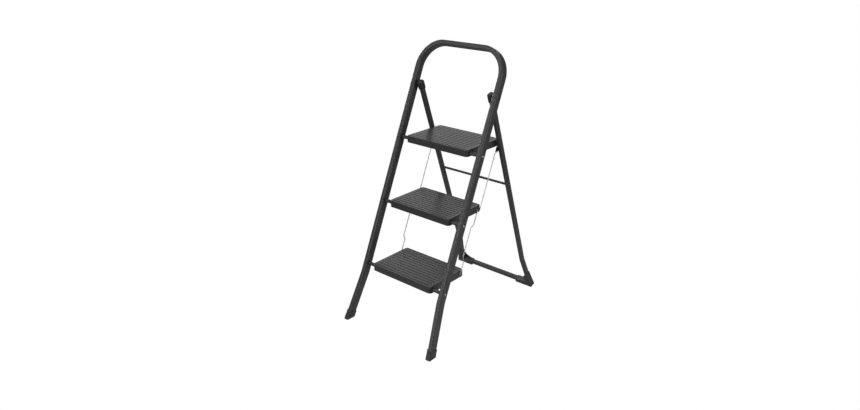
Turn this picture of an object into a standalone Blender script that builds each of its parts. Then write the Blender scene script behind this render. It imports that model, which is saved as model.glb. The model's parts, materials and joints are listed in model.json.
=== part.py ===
"""Folding three-step steel ladder with a hoop handrail, standing open.

Metres, +Z up. X runs across the ladder, +Y from the climbing side to the rear.
The origin is on the floor, at the middle of the footprint.
"""
import math

import bmesh
import bpy
from mathutils import Matrix, Vector

# ---------------------------------------------------------------- driving dimensions
GAP = 0.0003                    # play between pieces that touch

FRONT_LEAN = math.radians(23.22)
HOOP_HEIGHT = 1.080             # centreline of the hoop's top bar above the floor
HOOP_RADIUS = 0.104             # centreline radius of the hoop's corners
RAIL_HALF_SPACING = 0.2013      # rail centreline to the middle of the ladder
RAIL_BEND_HEIGHT = 0.1906       # the rails splay outwards below this height
RAIL_SPLAY = 0.0212             # how far each rail has moved out at the floor
RAIL_WIDTH = 0.0195             # across X
RAIL_DEPTH = 0.0340             # square to the frame's plane
RAIL_CORNER = 0.0045
RAIL_BEND_RADIUS = 0.1000
RAIL_HOLE_SPAN = (0.1850, 0.2170)       # x range of a hole through both walls of a rail
TUBE_WALL = 0.0012

REAR_LEAN = math.radians(19.50)
LEG_HALF_SPACING = 0.1734
LEG_BEND_HEIGHT = 0.1429
LEG_SPLAY = 0.0205
LEG_WIDTH = 0.0165
LEG_DEPTH = 0.0200
LEG_CORNER = 0.0035
LEG_BEND_RADIUS = 0.1000
LEG_HOLE_SPAN = (0.1550, 0.1950)        # x range of a hole through both walls of a leg
LEG_SEAT = 0.0280               # end of the leg's tube above the elbow's underside
CROSSBAR_HEIGHT = 0.5330
CROSSBAR_RADIUS = 0.0050
CROSSBAR_PROUD = 0.0030         # how far the crossbar's ends stand out of the legs
BASE_BAR_HEIGHT = 0.0170        # in-plane height of the base bar's section
BASE_BAR_RISE = 0.0102          # base bar centreline above the elbows' underside
BASE_BAR_INSET = 0.0040         # base bar's ends inside the legs' centrelines

PIVOT_HEIGHT = 0.9170
PIVOT_SETBACK = 0.0074          # pivot axis behind the rails' centre plane
BOLT_RADIUS = 0.0030

STEP_RIVET_HEIGHTS = (0.2256, 0.4708, 0.7170)
STEP_FRONT_REACH = (0.0191, 0.0190, 0.0209)     # tread edge in front of its rivet axis
STEP_REAR_REACH = (0.1854, 0.1838, 0.1893)      # tread edge behind its rivet axis
STEP_TOP_RISE = 0.0162          # walking surface above the rivet axis
STEP_NAMES = ("bottom", "middle", "top")
TREAD_HALF_WIDTH = 0.1535
TREAD_SKIRT = 0.0272
TREAD_SHEET = 0.0012
TREAD_PLAN_RADIUS = 0.0135
TREAD_EDGE_RADIUS = 0.0022
PIVOT_TUBE_RADIUS = 0.00725
PIVOT_TUBE_BORE = 0.00575
BUSH_FLANGE = 0.0011
BUSH_LENGTH = 0.0110
RIVET_HEAD_RADIUS = 0.0043
STIFFENER_SETBACK = 0.0880      # middle of the channel behind the rivet axis
STIFFENER_HALF_WIDTH = 0.0220
STIFFENER_DROP = 0.0120

LINK_RADIUS = 0.0018
LINK_SIDE = 0.1580              # wire centreline from the middle of the ladder
LINK_END = 0.1425               # inner end of the wire's bent pins
LINK_BEND = 0.0050
UPPER_LINK_EYE = (0.1665, -0.0060)      # behind and above the rivet axis
LOWER_LINK_EYE = (0.1560, 0.0030)
LOWER_LINK_JOG = 0.0130         # how far the lower wire's middle stands forward
LOWER_LINK_JOG_SPAN = (0.058, 0.072, 0.192, 0.206)      # along the wire from its lower eye
CLIP_RADIUS = 0.0042
CLIP_THICKNESS = 0.0010

FOOT_WALL = 0.0022
FOOT_HEIGHT = 0.0345
FOOT_SOLE = 0.0125              # end of the rail's tube above the floor, along the rail
FOOT_EDGE = 0.0012              # rounding of the boot's rims

ELBOW_FRONT = -0.0165           # elbow faces, square to the rear frame's plane
ELBOW_REAR = 0.0118
ELBOW_SOLE_CUT = 0.0020         # depth trimmed off the tilted underside to give a level sole
ELBOW_BAR_END = 0.1260          # inner end of the sleeve round the base bar
ELBOW_SOLE_WALL = 0.0165        # leg centreline to the elbow's outer face, at the sole
ELBOW_OUTER_WALL = 0.0108       # and at the top of the collar
ELBOW_INNER_WALL = 0.0098
ELBOW_BAR_WALL = 0.0014         # thickness of the sleeve above the base bar
ELBOW_OUTER_TOP = 0.0770
ELBOW_INNER_TOP = 0.0600
ELBOW_TOE = 0.0025              # cut corner at the outer end of the sole
GUSSET_FRONT = 0.0070           # gusset faces, square to the rear frame's plane
GUSSET_REAR = 0.0110
GUSSET_TOP = 0.0540             # where its curve meets the collar

CAP_WALL = 0.0022
CAP_BELOW = 0.0210              # cap reach below the pivot, along the leg
CAP_ABOVE = 0.0168
CAP_EDGE = 0.0020
BOSS_RADIUS = 0.0095
BOLT_HEAD_RADIUS = 0.0056
NUT_RADIUS = 0.0058
NUT_HEIGHT = 0.0039

STUD_RADIUS = 0.0040
STUD_HEIGHT = 0.6900
STUD_TIP = 0.1603
STUD_SEAT = 0.0050              # how far the stud reaches past the leg's centreline
HOOK_PLATE = 0.0025
HOOK_INNER_FACE = 0.1610
HOOK_FOOT = 0.1250              # inner end of the hook's strip, under the tread
HOOK_SETBACK = 0.1752           # front edge of the strip behind the rivet axis
HOOK_TAIL = 0.0105              # how far the hook reaches below the stud's axis, behind it
HOOK_NOSE = 0.0175              # how far the hook reaches in front of the stud's axis
HOOK_NOSE_DROP = 0.0070         # and how far its point reaches below it there

# ---------------------------------------------------------------- derived frame
PIVOT_FROM_FOOT = PIVOT_HEIGHT * math.tan(FRONT_LEAN) + PIVOT_SETBACK / math.cos(FRONT_LEAN)
FOOT_TO_FOOT = PIVOT_FROM_FOOT + PIVOT_HEIGHT * math.tan(REAR_LEAN)
FRONT_EDGE = -(RAIL_DEPTH / 2 + GAP + FOOT_WALL) / math.cos(FRONT_LEAN)
SOLE_RISE = -ELBOW_FRONT * math.tan(REAR_LEAN) - ELBOW_SOLE_CUT
REAR_EDGE = FOOT_TO_FOOT - SOLE_RISE * math.sin(REAR_LEAN) + ELBOW_REAR * math.cos(REAR_LEAN)
FRONT_Y = -(FRONT_EDGE + REAR_EDGE) / 2
REAR_Y = FRONT_Y + FOOT_TO_FOOT
HOOP_S = HOOP_HEIGHT / math.cos(FRONT_LEAN)
RAIL_BEND_S = RAIL_BEND_HEIGHT / math.cos(FRONT_LEAN)
LEG_BEND_T = LEG_BEND_HEIGHT / math.cos(REAR_LEAN)
BASE_BAR_T = SOLE_RISE + BASE_BAR_RISE
PIVOT_T = PIVOT_HEIGHT / math.cos(REAR_LEAN)
X_AXIS = Vector((1, 0, 0))
SIDES = (("left", -1), ("right", 1))


def front_point(x, s, n=0.0):
    """A point in the front frame: s up along the rails, n square to them, rearwards."""
    y = FRONT_Y + s * math.sin(FRONT_LEAN) + n * math.cos(FRONT_LEAN)
    return Vector((x, y, s * math.cos(FRONT_LEAN) - n * math.sin(FRONT_LEAN)))


def rear_point(x, t, n=0.0):
    """A point in the rear frame: t up along the legs, n square to them, rearwards."""
    y = REAR_Y - t * math.sin(REAR_LEAN) + n * math.cos(REAR_LEAN)
    return Vector((x, y, t * math.cos(REAR_LEAN) + n * math.sin(REAR_LEAN)))


def step_axis(level):
    """The middle of a step's rivet axis."""
    height = STEP_RIVET_HEIGHTS[level]
    return Vector((0, FRONT_Y + height * math.tan(FRONT_LEAN), height))


def link_eye(level, eye):
    return step_axis(level) + Vector((0, eye[0], eye[1]))


def leg_x(t):
    """Centreline of the right rear leg at a distance t up the leg."""
    return LEG_HALF_SPACING + LEG_SPLAY * max(0.0, 1 - t / LEG_BEND_T)


PIVOT = rear_point(0, PIVOT_T)
STUD = rear_point(0, STUD_HEIGHT / math.cos(REAR_LEAN))


# ---------------------------------------------------------------- materials
def material(name, colour, roughness, metallic=0.0):
    made = bpy.data.materials.new(name)
    made.use_nodes = True
    shader = made.node_tree.nodes["Principled BSDF"]
    shader.inputs["Base Color"].default_value = (*colour, 1)
    shader.inputs["Roughness"].default_value = roughness
    shader.inputs["Metallic"].default_value = metallic
    made.diffuse_color = (*colour, 1)
    return made


# ---------------------------------------------------------------- mesh helpers
def new_object(name, mesh, finish, parent):
    """Name the mesh's object, and move its origin to the parent's joint axis."""
    mesh.transform(Matrix.Translation(-parent.location))
    mesh.shade_smooth()
    mesh.set_sharp_from_angle(angle=math.radians(35))
    made = bpy.data.objects.new(name, mesh)
    own = finish.copy()
    own.name = name
    mesh.materials.append(own)
    made.parent = parent
    bpy.context.collection.objects.link(made)
    return made


def loft(name, rings, closed=False):
    """Skin rings of equal size; a closed loft joins its last ring to its first."""
    shape = bmesh.new()
    loops = [[shape.verts.new(point) for point in ring] for ring in rings]
    count = len(rings[0])
    pairs = list(zip(loops, loops[1:]))
    if closed:
        pairs.append((loops[-1], loops[0]))
    for lower, upper in pairs:
        for i in range(count):
            j = (i + 1) % count
            shape.faces.new((lower[i], lower[j], upper[j], upper[i]))
    if not closed:
        shape.faces.new(reversed(loops[0]))
        shape.faces.new(loops[-1])
    bmesh.ops.recalc_face_normals(shape, faces=shape.faces)
    mesh = bpy.data.meshes.new(name)
    shape.to_mesh(mesh)
    shape.free()
    return mesh


def rounded_rect(width, depth, radius, steps=3):
    """Outline points of a rounded rectangle about the origin."""
    points = []
    corners = ((1, 1, 0), (-1, 1, 90), (-1, -1, 180), (1, -1, 270))
    for side_u, side_v, start in corners:
        for step in range(steps + 1):
            angle = math.radians(start + 90 * step / steps)
            u = side_u * (width / 2 - radius) + radius * math.cos(angle)
            v = side_v * (depth / 2 - radius) + radius * math.sin(angle)
            points.append((u, v))
    return points


def circle(radius, count):
    angles = [2 * math.pi * i / count for i in range(count)]
    return [(radius * math.cos(a), radius * math.sin(a)) for a in angles]


def rounded_path(points, radii, steps):
    """A plane path through the points, with an arc of the given radius at each corner."""
    path = [Vector(points[0])]
    for before, corner, after, radius in zip(points, points[1:], points[2:], radii):
        corner = Vector(corner)
        inward = (Vector(before) - corner).normalized()
        onward = (Vector(after) - corner).normalized()
        half = inward.angle(onward) / 2
        centre = corner + (inward + onward).normalized() * (radius / math.sin(half))
        start = corner + inward * (radius / math.tan(half)) - centre
        end = corner + onward * (radius / math.tan(half)) - centre
        sweep = start.angle(end)
        for step in range(steps + 1):
            k = step / steps
            blend = start * math.sin((1 - k) * sweep) + end * math.sin(k * sweep)
            path.append(centre + blend / math.sin(sweep))
    path.append(Vector(points[-1]))
    return path


def sweep_rings(path, section, place):
    """Rings of a section swept along a plane path; place maps (a, b, n) to the row frame."""
    rings = []
    for i, point in enumerate(path):
        ahead = path[min(i + 1, len(path) - 1)] - point
        behind = point - path[max(i - 1, 0)]
        if ahead.length == 0:
            ahead = behind
        if behind.length == 0:
            behind = ahead
        along = (ahead.normalized() + behind.normalized()).normalized()
        stretch = 1 / along.dot(ahead.normalized())
        across = Vector((along.y, -along.x)) * stretch
        rings.append([place(*(point + across * u), v) for u, v in section])
    return rings


def swept_tube(name, path, outer, inner, place):
    """A tube with open ends."""
    outside = sweep_rings(path, outer, place)
    inside = sweep_rings(path, inner, place)
    return loft(name, outside + inside[::-1], closed=True)


def x_rod(name, centre, stations, count=20):
    """A solid turned about a line along X; stations are (x, radius)."""
    rings = []
    for x, radius in stations:
        rings.append([Vector((x, centre.y + u, centre.z + v)) for u, v in circle(radius, count)])
    return loft(name, rings)


def x_sleeve(name, centre, outer, bore, count=20):
    """A sleeve about a line along X: outer stations (x, radius), one bore."""
    first, last = outer[0][0], outer[-1][0]
    stations = list(outer) + [(last, bore), (first, bore)]
    rings = []
    for x, radius in stations:
        rings.append([Vector((x, centre.y + u, centre.z + v)) for u, v in circle(radius, count)])
    return loft(name, rings, closed=True)


def prism(name, outline, place, low, high):
    """A flat outline (a, b) given thickness from low to high."""
    rings = [[place(a, b, n) for a, b in outline] for n in (low, high)]
    return loft(name, rings)


def box_mesh(name, low, high):
    outline = ((low[0], low[1]), (high[0], low[1]), (high[0], high[1]), (low[0], high[1]))
    return prism(name, outline, lambda a, b, n: Vector((a, b, n)), low[2], high[2])


def guide(name, mesh):
    """A shape that only cuts or adds to another."""
    made = bpy.data.objects.new(name, mesh)
    made.hide_render = True
    made.display_type = "WIRE"
    bpy.context.collection.objects.link(made)
    return made


def boolean(target, tool, operation):
    step = target.modifiers.new(tool.name, "BOOLEAN")
    step.operation = operation
    step.solver = "EXACT"
    step.object = tool


def drill(target, name, centre, radius, low, high):
    """A hole along X between two x values."""
    mesh = x_rod(name, centre, ((low, radius), (high, radius)))
    boolean(target, guide("cut_" + name, mesh), "DIFFERENCE")


def axis_empty(name, place):
    made = bpy.data.objects.new(name, None)
    made.location = place
    bpy.context.collection.objects.link(made)
    return made


# ---------------------------------------------------------------- front frame
def front_frame(finish, parent):
    foot_x = RAIL_HALF_SPACING + RAIL_SPLAY
    foot_s = FOOT_SOLE + GAP
    shift = RAIL_SPLAY * foot_s / RAIL_BEND_S
    points = (
        (-foot_x + shift, foot_s),
        (-RAIL_HALF_SPACING, RAIL_BEND_S),
        (-RAIL_HALF_SPACING, HOOP_S),
        (RAIL_HALF_SPACING, HOOP_S),
        (RAIL_HALF_SPACING, RAIL_BEND_S),
        (foot_x - shift, foot_s),
    )
    radii = (RAIL_BEND_RADIUS, HOOP_RADIUS, HOOP_RADIUS, RAIL_BEND_RADIUS)
    path = rounded_path(points, radii, 7)
    outer = rounded_rect(RAIL_WIDTH, RAIL_DEPTH, RAIL_CORNER)
    inner = rounded_rect(RAIL_WIDTH - 2 * TUBE_WALL, RAIL_DEPTH - 2 * TUBE_WALL,
                         RAIL_CORNER - TUBE_WALL)
    mesh = swept_tube("front_frame", path, outer, inner, front_point)
    frame = new_object("front_frame", mesh, finish, parent)
    hole = BOLT_RADIUS + GAP
    for level, name in enumerate(STEP_NAMES):
        for side_name, side in SIDES:
            ends = sorted(side * x for x in RAIL_HOLE_SPAN)
            drill(frame, f"{name}_rivet_hole_{side_name}", step_axis(level), hole, *ends)
    for side_name, side in SIDES:
        ends = sorted(side * x for x in RAIL_HOLE_SPAN)
        drill(frame, f"pivot_hole_{side_name}", PIVOT, hole, *ends)


def front_foot(side_name, side, finish, parent):
    """A plastic boot on a rail's end, its sole level with the floor."""
    along = Vector((-RAIL_SPLAY, RAIL_BEND_S)).normalized()
    across = Vector((along.y, -along.x))
    start = Vector((RAIL_HALF_SPACING + RAIL_SPLAY, 0.0))

    def section(grow):
        return rounded_rect(RAIL_WIDTH + 2 * grow, RAIL_DEPTH + 2 * grow, RAIL_CORNER + grow)

    outer = section(GAP + FOOT_WALL)
    brim = section(GAP + FOOT_WALL - FOOT_EDGE)
    pocket = section(GAP)

    def ring(outline, distance):
        points = []
        for u, v in outline:
            flat = start + across * u + along * distance
            points.append(front_point(side * flat.x, flat.y, v))
        return points

    def sole(outline, height):
        points = []
        for u, v in outline:
            flat = start + across * u
            reach = (height / math.cos(FRONT_LEAN) + v * math.tan(FRONT_LEAN) - flat.y) / along.y
            flat = flat + along * reach
            points.append(front_point(side * flat.x, flat.y, v))
        return points

    rings = [
        sole(brim, 0.0),
        sole(outer, FOOT_EDGE),
        ring(outer, FOOT_HEIGHT - FOOT_EDGE),
        ring(brim, FOOT_HEIGHT),
        ring(pocket, FOOT_HEIGHT),
        ring(pocket, FOOT_SOLE),
    ]
    new_object(f"front_foot_{side_name}", loft("foot", rings), finish, parent)


# ---------------------------------------------------------------- rear frame
def rear_leg(side_name, side, finish, parent):
    foot_t = SOLE_RISE + LEG_SEAT + GAP
    points = (
        (side * leg_x(foot_t), foot_t),
        (side * LEG_HALF_SPACING, LEG_BEND_T),
        (side * LEG_HALF_SPACING, PIVOT_T + CAP_ABOVE - CAP_WALL - GAP),
    )
    path = rounded_path(points, (LEG_BEND_RADIUS,), 5)
    outer = rounded_rect(LEG_WIDTH, LEG_DEPTH, LEG_CORNER)
    inner = rounded_rect(LEG_WIDTH - 2 * TUBE_WALL, LEG_DEPTH - 2 * TUBE_WALL,
                         LEG_CORNER - TUBE_WALL)
    mesh = swept_tube("rear_leg", path, outer, inner, rear_point)
    leg = new_object(f"rear_leg_{side_name}", mesh, finish, parent)
    both_walls = sorted(side * x for x in LEG_HOLE_SPAN)
    inner_wall = sorted((side * LEG_HOLE_SPAN[0], side * LEG_HALF_SPACING))
    crossbar = rear_point(0, CROSSBAR_HEIGHT / math.cos(REAR_LEAN))
    drill(leg, f"leg_pivot_{side_name}", PIVOT, BOLT_RADIUS + GAP, *both_walls)
    drill(leg, f"leg_crossbar_{side_name}", crossbar, CROSSBAR_RADIUS + GAP, *both_walls)
    drill(leg, f"leg_stud_{side_name}", STUD, STUD_RADIUS + GAP, *inner_wall)


def rear_crossbar(finish, parent):
    centre = rear_point(0, CROSSBAR_HEIGHT / math.cos(REAR_LEAN))
    end = LEG_HALF_SPACING + LEG_WIDTH / 2 + CROSSBAR_PROUD
    mesh = x_rod("rear_crossbar", centre, ((-end, CROSSBAR_RADIUS), (end, CROSSBAR_RADIUS)))
    new_object("rear_crossbar", mesh, finish, parent)


def rear_base_bar(finish, parent):
    """The square tube across the feet, open at both ends inside its elbows."""
    end = leg_x(0) - BASE_BAR_INSET
    path = [Vector((-end, BASE_BAR_T)), Vector((end, BASE_BAR_T))]
    outer = rounded_rect(BASE_BAR_HEIGHT, LEG_DEPTH, LEG_CORNER)
    inner = rounded_rect(BASE_BAR_HEIGHT - 2 * TUBE_WALL, LEG_DEPTH - 2 * TUBE_WALL,
                         LEG_CORNER - TUBE_WALL)
    mesh = swept_tube("rear_base_bar", path, outer, inner, rear_point)
    new_object("rear_base_bar", mesh, finish, parent)


def rear_elbow(side_name, side, finish, parent):
    """The moulded foot that joins a leg to the base bar; the left one has a gusset."""
    low = SOLE_RISE
    bar_top = BASE_BAR_T + BASE_BAR_HEIGHT / 2 + GAP + ELBOW_BAR_WALL
    outline = [
        (ELBOW_BAR_END, low),
        (leg_x(low) + ELBOW_SOLE_WALL - ELBOW_TOE, low),
        (leg_x(low) + ELBOW_SOLE_WALL, low + ELBOW_TOE),
        (leg_x(ELBOW_OUTER_TOP) + ELBOW_OUTER_WALL - 0.0005, ELBOW_OUTER_TOP - 0.006),
        (leg_x(ELBOW_OUTER_TOP) + ELBOW_OUTER_WALL - 0.0014, ELBOW_OUTER_TOP),
        (leg_x(ELBOW_INNER_TOP) - ELBOW_INNER_WALL, ELBOW_INNER_TOP),
        (leg_x(bar_top) - ELBOW_INNER_WALL, bar_top),
        (ELBOW_BAR_END, bar_top),
    ]
    placed = [(side * x, t) for x, t in outline]
    mesh = prism("elbow", placed, rear_point, ELBOW_FRONT, ELBOW_REAR)
    elbow = new_object(f"rear_elbow_{side_name}", mesh, finish, parent)
    floor = box_mesh("floor", (-0.30, REAR_Y - 0.10, -0.05), (0.30, REAR_Y + 0.10, 0.0))
    boolean(elbow, guide(f"cut_sole_{side_name}", floor), "DIFFERENCE")

    if side < 0:
        rise = GUSSET_TOP - bar_top
        reach = leg_x(ELBOW_INNER_TOP) - ELBOW_INNER_WALL - ELBOW_BAR_END
        web = []
        for step in range(9):
            angle = math.radians(90 * step / 8)
            x = ELBOW_BAR_END + 0.001 + reach * math.sin(angle)
            web.append((x, bar_top + rise * (1 - math.cos(angle))))
        web.append((leg_x(bar_top) - 0.004, bar_top - 0.002))
        web.append((ELBOW_BAR_END + 0.001, bar_top - 0.002))
        placed = [(side * x, t) for x, t in web]
        mesh = prism("web", placed, rear_point, GUSSET_FRONT, GUSSET_REAR)
        boolean(elbow, guide(f"add_web_{side_name}", mesh), "UNION")

    bore = rounded_rect(BASE_BAR_HEIGHT + 2 * GAP, LEG_DEPTH + 2 * GAP, LEG_CORNER + GAP)
    deep = leg_x(0) - BASE_BAR_INSET + GAP
    path = [Vector((side * 0.10, BASE_BAR_T)), Vector((side * deep, BASE_BAR_T))]
    mesh = loft("bar_pocket", sweep_rings(path, bore, rear_point))
    boolean(elbow, guide(f"cut_bar_pocket_{side_name}", mesh), "DIFFERENCE")

    bore = rounded_rect(LEG_WIDTH + 2 * GAP, LEG_DEPTH + 2 * GAP, LEG_CORNER + GAP)
    start = SOLE_RISE + LEG_SEAT
    path = [Vector((side * leg_x(start), start)), Vector((side * leg_x(0.12), 0.12))]
    mesh = loft("leg_pocket", sweep_rings(path, bore, rear_point))
    boolean(elbow, guide(f"cut_leg_pocket_{side_name}", mesh), "DIFFERENCE")


def rear_cap(side_name, side, finish, parent):
    """A closed sleeve over the leg's top end, bored for the pivot bolt."""
    grow = 2 * (GAP + CAP_WALL)
    outer = rounded_rect(LEG_WIDTH + grow, LEG_DEPTH + grow, LEG_CORNER + 0.001)
    brim = rounded_rect(LEG_WIDTH + grow - 2 * CAP_EDGE, LEG_DEPTH + grow - 2 * CAP_EDGE, LEG_CORNER)
    pocket = rounded_rect(LEG_WIDTH + 2 * GAP, LEG_DEPTH + 2 * GAP, LEG_CORNER + GAP)

    def ring(section, t):
        return [rear_point(side * LEG_HALF_SPACING + u, t, v) for u, v in section]

    rings = [
        ring(brim, PIVOT_T + CAP_ABOVE),
        ring(outer, PIVOT_T + CAP_ABOVE - CAP_EDGE),
        ring(outer, PIVOT_T - CAP_BELOW),
        ring(pocket, PIVOT_T - CAP_BELOW),
        ring(pocket, PIVOT_T + CAP_ABOVE - CAP_WALL),
    ]
    cap = new_object(f"rear_cap_{side_name}", loft("rear_cap", rings), finish, parent)
    ends = sorted((side * (LEG_HALF_SPACING - LEG_DEPTH), side * (LEG_HALF_SPACING + LEG_DEPTH)))
    drill(cap, f"cap_pivot_{side_name}", PIVOT, BOLT_RADIUS + GAP, *ends)


def pivot_hardware(side_name, side, plastic, dark_steel, root, rear):
    """Bolt through the rail, spacer and leg, with its nut on the inside."""
    cap_outer = LEG_HALF_SPACING + LEG_WIDTH / 2 + GAP + CAP_WALL
    rail_inner = RAIL_HALF_SPACING - RAIL_WIDTH / 2
    rail_outer = RAIL_HALF_SPACING + RAIL_WIDTH / 2
    cap_inner = LEG_HALF_SPACING - LEG_WIDTH / 2 - GAP - CAP_WALL
    outer = ((side * (cap_outer + GAP), BOSS_RADIUS), (side * (rail_inner - GAP), BOSS_RADIUS))
    mesh = x_sleeve("spacer", PIVOT, outer, BOLT_RADIUS + GAP, 24)
    new_object(f"pivot_spacer_{side_name}", mesh, plastic, rear)
    under_head = rail_outer + GAP
    head = (
        (side * (cap_inner - NUT_HEIGHT - 0.0011), BOLT_RADIUS),
        (side * under_head, BOLT_RADIUS),
        (side * under_head, BOLT_HEAD_RADIUS),
        (side * (under_head + 0.0005), BOLT_HEAD_RADIUS),
        (side * (under_head + 0.0011), 0.6 * BOLT_HEAD_RADIUS),
    )
    new_object(f"pivot_bolt_{side_name}", x_rod("bolt", PIVOT, head), dark_steel, root)
    nut_face = cap_inner - GAP
    nut = ((side * nut_face, NUT_RADIUS), (side * (nut_face - NUT_HEIGHT), NUT_RADIUS))
    mesh = x_sleeve("nut", PIVOT, nut, BOLT_RADIUS + GAP, 12)
    new_object(f"pivot_nut_{side_name}", mesh, dark_steel, root)


def support_stud(side_name, side, steel, parent):
    """A stud on the inner face of a rear leg, under the top step's hook."""
    seat = LEG_HALF_SPACING + STUD_SEAT
    stations = ((side * STUD_TIP, STUD_RADIUS), (side * seat, STUD_RADIUS))
    mesh = x_rod("stud", STUD, stations, 16)
    new_object(f"support_stud_{side_name}", mesh, steel, parent)


# ---------------------------------------------------------------- steps
def tread(level, finish, parent):
    """A pressed pan: rounded top edge, skirt all round, open underneath."""
    name = STEP_NAMES[level]
    axis = step_axis(level)
    front = axis.y - STEP_FRONT_REACH[level]
    rear = axis.y + STEP_REAR_REACH[level]
    middle = (front + rear) / 2
    depth = rear - front
    top = axis.z + STEP_TOP_RISE

    def ring(inset, drop):
        radius = TREAD_PLAN_RADIUS - inset
        outline = rounded_rect(2 * (TREAD_HALF_WIDTH - inset), depth - 2 * inset, radius, 5)
        return [Vector((u, middle + v, top - drop)) for u, v in outline]

    rings = []
    for step in range(4):
        angle = math.radians(90 * step / 3)
        inset = TREAD_EDGE_RADIUS * (1 - math.sin(angle))
        drop = TREAD_EDGE_RADIUS * (1 - math.cos(angle))
        rings.append(ring(inset, drop))
    rings.append(ring(0, TREAD_SKIRT))
    rings.append(ring(TREAD_SHEET, TREAD_SKIRT))
    rings.append(ring(TREAD_SHEET, TREAD_SHEET + 0.0015))
    rings.append(ring(TREAD_SHEET + 0.0015, TREAD_SHEET))
    pan = new_object(f"{name}_tread", loft("tread", rings), finish, parent)
    drill(pan, f"{name}_tube_hole", axis, PIVOT_TUBE_RADIUS + GAP, -0.16, 0.16)
    eyes = {"bottom": (LOWER_LINK_EYE,), "middle": (LOWER_LINK_EYE, UPPER_LINK_EYE),
            "top": (UPPER_LINK_EYE,)}
    for index, eye in enumerate(eyes[name]):
        drill(pan, f"{name}_wire_hole_{index}", link_eye(level, eye), LINK_RADIUS + GAP, -0.16, 0.16)


def step_hardware(level, finish, plastic, steel, root, parent):
    """The tube the step turns on, its two bushes, and the rivets in the rails."""
    name = STEP_NAMES[level]
    axis = step_axis(level)
    rail_inner = RAIL_HALF_SPACING - RAIL_WIDTH / 2
    rail_outer = RAIL_HALF_SPACING + RAIL_WIDTH / 2
    flange_inner = rail_inner - GAP - BUSH_FLANGE
    tube_end = flange_inner - GAP
    outer = ((-tube_end, PIVOT_TUBE_RADIUS), (tube_end, PIVOT_TUBE_RADIUS))
    mesh = x_sleeve("pivot_tube", axis, outer, PIVOT_TUBE_BORE, 24)
    new_object(f"{name}_pivot_tube", mesh, finish, parent)
    for side_name, side in SIDES:
        barrel = PIVOT_TUBE_BORE - GAP
        outer = (
            (side * (flange_inner - BUSH_LENGTH), barrel),
            (side * flange_inner, barrel),
            (side * flange_inner, PIVOT_TUBE_RADIUS),
            (side * (rail_inner - GAP), PIVOT_TUBE_RADIUS),
        )
        mesh = x_sleeve("bush", axis, outer, BOLT_RADIUS + GAP, 20)
        new_object(f"{name}_bush_{side_name}", mesh, plastic, parent)
        under_head = rail_outer + GAP
        stations = (
            (side * (flange_inner - BUSH_LENGTH - 0.0015), BOLT_RADIUS),
            (side * under_head, BOLT_RADIUS),
            (side * under_head, RIVET_HEAD_RADIUS),
            (side * (under_head + 0.0007), 0.95 * RIVET_HEAD_RADIUS),
            (side * (under_head + 0.0016), 0.6 * RIVET_HEAD_RADIUS),
        )
        new_object(f"{name}_rivet_{side_name}", x_rod("rivet", axis, stations, 16), steel, root)


def tread_stiffener(level, finish, parent):
    """A folded channel across the underside of the tread."""
    axis = step_axis(level)
    top = axis.z + STEP_TOP_RISE - TREAD_SHEET - GAP
    middle = axis.y + STIFFENER_SETBACK
    half = STIFFENER_HALF_WIDTH
    fold = TREAD_SHEET
    drop = STIFFENER_DROP
    outline = (
        (middle - half, top),
        (middle + half, top),
        (middle + half, top - drop),
        (middle + half - fold, top - drop),
        (middle + half - fold, top - fold),
        (middle - half + fold, top - fold),
        (middle - half + fold, top - drop),
        (middle - half, top - drop),
    )
    end = TREAD_HALF_WIDTH - TREAD_SHEET - GAP - 0.0012
    mesh = prism("stiffener", outline, lambda a, b, n: Vector((n, a, b)), -end, end)
    new_object(f"{STEP_NAMES[level]}_stiffener", mesh, finish, parent)


def step_hook(side_name, side, finish, parent):
    """A bent strip under the top tread whose notch sits over the leg's stud."""
    axis = step_axis(2)
    skirt_low = axis.z + STEP_TOP_RISE - TREAD_SKIRT
    under = axis.z + STEP_TOP_RISE - TREAD_SHEET - GAP
    high = skirt_low - GAP
    low = high - HOOK_PLATE
    near = axis.y + HOOK_SETBACK
    far = axis.y + STEP_REAR_REACH[2] - TREAD_SHEET - 0.0020
    outer = HOOK_INNER_FACE + HOOK_PLATE
    inner = HOOK_FOOT
    strip = (
        (side * inner, low),
        (side * (outer - 0.0005), low),
        (side * (outer - 0.0005), high),
        (side * (inner + HOOK_PLATE), high),
        (side * (inner + HOOK_PLATE), under),
        (side * inner, under),
    )
    mesh = prism("hook", strip, lambda a, b, n: Vector((a, n, b)), near, far)
    hook = new_object(f"step_hook_{side_name}", mesh, finish, parent)

    notch = STUD_RADIUS + GAP
    plate = [
        (far, high),
        (far, STUD.z - HOOK_TAIL + 0.0020),
        (far - 0.0030, STUD.z - HOOK_TAIL),
        (STUD.y + notch + 0.0008, STUD.z - HOOK_TAIL + 0.0045),
    ]
    for step in range(9):
        angle = math.radians(-20 + 163 * step / 8)
        plate.append((STUD.y + notch * math.cos(angle), STUD.z + notch * math.sin(angle)))
    plate.append((STUD.y - HOOK_NOSE + 0.0015, STUD.z - HOOK_NOSE_DROP))
    plate.append((STUD.y - HOOK_NOSE, STUD.z - HOOK_NOSE_DROP + 0.0020))
    plate.append((STUD.y - HOOK_NOSE, high))
    ends = sorted((side * HOOK_INNER_FACE, side * outer))
    mesh = prism("hook_plate", plate, lambda a, b, n: Vector((n, a, b)), *ends)
    boolean(hook, guide(f"add_hook_plate_{side_name}", mesh), "UNION")


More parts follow.
